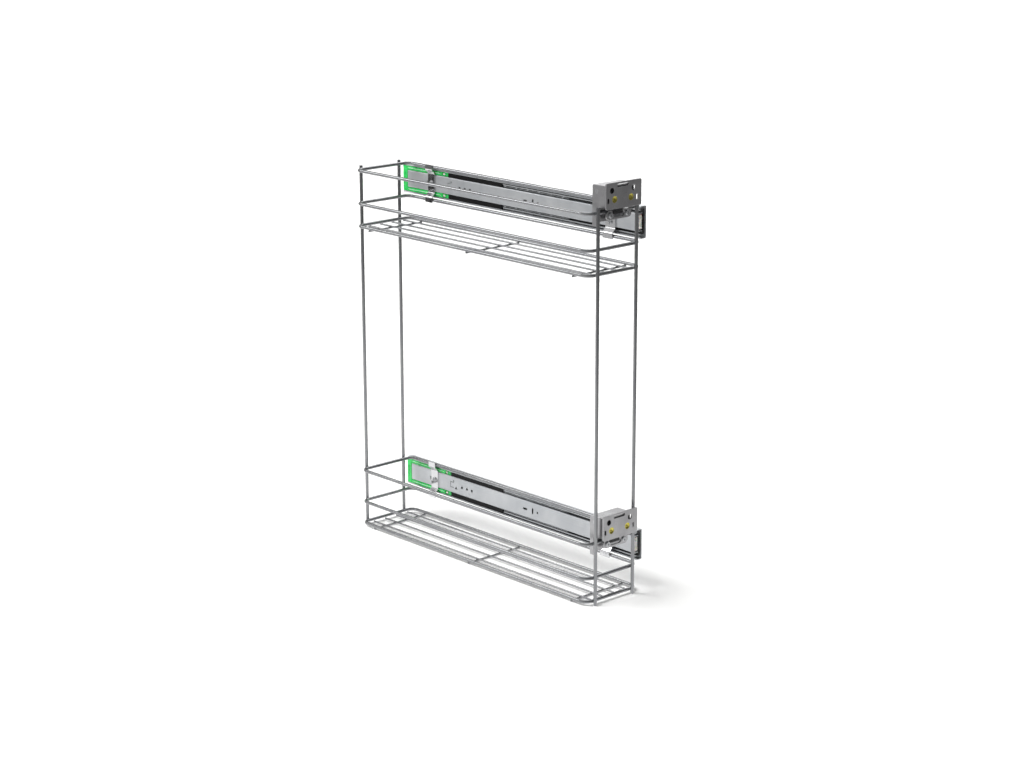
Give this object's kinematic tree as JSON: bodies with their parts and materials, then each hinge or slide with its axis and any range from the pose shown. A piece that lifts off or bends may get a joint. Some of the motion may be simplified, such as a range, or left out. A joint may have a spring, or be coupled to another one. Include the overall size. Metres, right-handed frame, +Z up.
{
  "type": "pull-out cargo basket",
  "caption": "Narrow pull-out unit: wire baskets one above the other on a post frame, carried by side-mounted full-extension soft-close ball slides, with adjustable door brackets.",
  "frame": {"origin": "on the cabinet side panel's face, behind the middle of the lower slide", "axes": "+X the way the basket pulls out, +Y into the cabinet side panel, +Z up; the basket is on the -Y side"},
  "size_m": [0.522, 0.1182, 0.5955],
  "materials": {
    "chrome_wire": "polished",
    "chrome_bracket": "polished",
    "zinc_sheet": "satin",
    "zinc_screw": "satin",
    "steel_ball": "polished",
    "spring_steel": "satin",
    "black_plastic": "moulded",
    "green_plastic": "moulded",
    "grey_plastic": "moulded",
    "white_plastic": "moulded",
    "zinc_casting": "tumbled",
    "brass_screw": "machined"
  },
  "bodies": {
    "cabinet_side": {"lower_cabinet_member": "zinc_sheet", "lower_damper_housing": "green_plastic", "lower_damper_cylinder": "grey_plastic", "lower_closing_spring": "spring_steel", "upper_cabinet_member": "zinc_sheet", "upper_damper_housing": "green_plastic", "upper_damper_cylinder": "grey_plastic", "upper_closing_spring": "spring_steel"},
    "basket_frame": {"lower_drawer_member": "zinc_sheet", "lower_top_ring": "chrome_wire", "lower_middle_ring": "chrome_wire", "lower_base_ring": "chrome_wire", "lower_grid_wires": "chrome_wire", "lower_cross_wires": "chrome_wire", "lower_rear_strap": "chrome_bracket", "lower_front_strap": "chrome_bracket", "lower_bracket_box": "chrome_bracket", "lower_clamp_plate": "chrome_bracket", "upper_drawer_member": "zinc_sheet", "upper_top_ring": "chrome_wire", "upper_middle_ring": "chrome_wire", "upper_base_ring": "chrome_wire", "upper_grid_wires": "chrome_wire", "upper_cross_wires": "chrome_wire", "upper_rear_strap": "chrome_bracket", "upper_front_strap": "chrome_bracket", "upper_bracket_box": "chrome_bracket", "upper_clamp_plate": "chrome_bracket", "rear_post_open_side": "chrome_wire", "rear_post_slide_side": "chrome_wire", "front_post_open_side": "chrome_wire", "front_post_slide_side": "chrome_wire", "strap_screws": "zinc_screw", "clamp_latches": "grey_plastic", "clamp_screws": "zinc_screw", "clamp_nuts": "zinc_screw", "guide_rods": "zinc_screw"},
    "middle_members": {"lower_middle_member": "zinc_sheet", "lower_guide_strips": "black_plastic", "upper_middle_member": "zinc_sheet", "upper_guide_strips": "black_plastic"},
    "outer_cages": {"outer_balls": "steel_ball", "lower_outer_cage": "zinc_sheet", "upper_outer_cage": "zinc_sheet"},
    "inner_cages": {"inner_balls": "steel_ball", "lower_inner_cage": "zinc_sheet", "upper_inner_cage": "zinc_sheet"},
    "lower_catch_slider": {"lower_catch": "white_plastic", "lower_damper_rod": "zinc_screw"},
    "lower_block": {"lower_adjuster_block": "zinc_casting"},
    "lower_plate": {"lower_door_plate": "chrome_bracket"},
    "lower_height_cam": {"lower_height_screw": "brass_screw"},
    "lower_side_cam": {"lower_side_screw": "brass_screw"},
    "upper_catch_slider": {"upper_catch": "white_plastic", "upper_damper_rod": "zinc_screw"},
    "upper_block": {"upper_adjuster_block": "zinc_casting"},
    "upper_plate": {"upper_door_plate": "chrome_bracket"},
    "upper_height_cam": {"upper_height_screw": "brass_screw"},
    "upper_side_cam": {"upper_side_screw": "brass_screw"}
  },
  "joints": [
    {"name": "basket_slide", "type": "slide", "parent": "cabinet_side", "child": "basket_frame", "axis": [1, 0, 0], "range_m": [0, 0.5]},
    {"name": "middle_slide", "type": "slide", "parent": "cabinet_side", "child": "middle_members", "axis": [1, 0, 0], "range_m": [0, 0.25]},
    {"name": "outer_cage_slide", "type": "slide", "parent": "cabinet_side", "child": "outer_cages", "axis": [1, 0, 0], "range_m": [0, 0.125]},
    {"name": "inner_cage_slide", "type": "slide", "parent": "cabinet_side", "child": "inner_cages", "axis": [1, 0, 0], "range_m": [0, 0.375]},
    {"name": "lower_catch_slide", "type": "slide", "parent": "cabinet_side", "child": "lower_catch_slider", "axis": [1, 0, 0], "range_m": [0, 0.036], "stiffness_N_per_m": 250, "springref_m": -0.01, "deforming": ["lower_closing_spring"]},
    {"name": "lower_side_adjust", "type": "slide", "parent": "basket_frame", "child": "lower_block", "axis": [0, 1, 0], "range_m": [-0.002, 0.002]},
    {"name": "lower_height_adjust", "type": "slide", "parent": "lower_block", "child": "lower_plate", "axis": [0, 0, 1], "range_m": [-0.002, 0.002]},
    {"name": "lower_height_screw_turn", "type": "hinge", "parent": "lower_plate", "child": "lower_height_cam", "pos_m": [0.265, -0.0835, 0.044], "axis": [1, 0, 0], "range_deg": [-50.5, 50.5]},
    {"name": "lower_side_screw_turn", "type": "hinge", "parent": "lower_plate", "child": "lower_side_cam", "pos_m": [0.258, -0.0525, 0.044], "axis": [1, 0, 0], "range_deg": [-50.5, 50.5]},
    {"name": "upper_catch_slide", "type": "slide", "parent": "cabinet_side", "child": "upper_catch_slider", "axis": [1, 0, 0], "range_m": [0, 0.036], "stiffness_N_per_m": 250, "springref_m": -0.01, "deforming": ["upper_closing_spring"]},
    {"name": "upper_side_adjust", "type": "slide", "parent": "basket_frame", "child": "upper_block", "axis": [0, 1, 0], "range_m": [-0.002, 0.002]},
    {"name": "upper_height_adjust", "type": "slide", "parent": "upper_block", "child": "upper_plate", "axis": [0, 0, 1], "range_m": [-0.002, 0.002]},
    {"name": "upper_height_screw_turn", "type": "hinge", "parent": "upper_plate", "child": "upper_height_cam", "pos_m": [0.265, -0.0835, 0.508], "axis": [1, 0, 0], "range_deg": [-50.5, 50.5]},
    {"name": "upper_side_screw_turn", "type": "hinge", "parent": "upper_plate", "child": "upper_side_cam", "pos_m": [0.258, -0.0525, 0.508], "axis": [1, 0, 0], "range_deg": [-50.5, 50.5]}
  ],
  "couplings": [
    {"joint": "middle_slide", "follows": "basket_slide", "ratio": 0.5},
    {"joint": "outer_cage_slide", "follows": "basket_slide", "ratio": 0.25},
    {"joint": "inner_cage_slide", "follows": "basket_slide", "ratio": 0.75},
    {"joint": "lower_height_screw_turn", "follows": "lower_height_adjust", "rad_per_m": -436.33},
    {"joint": "lower_side_screw_turn", "follows": "lower_side_adjust", "rad_per_m": 436.33},
    {"joint": "upper_height_screw_turn", "follows": "upper_height_adjust", "rad_per_m": -436.33},
    {"joint": "upper_side_screw_turn", "follows": "upper_side_adjust", "rad_per_m": 436.33}
  ]
}
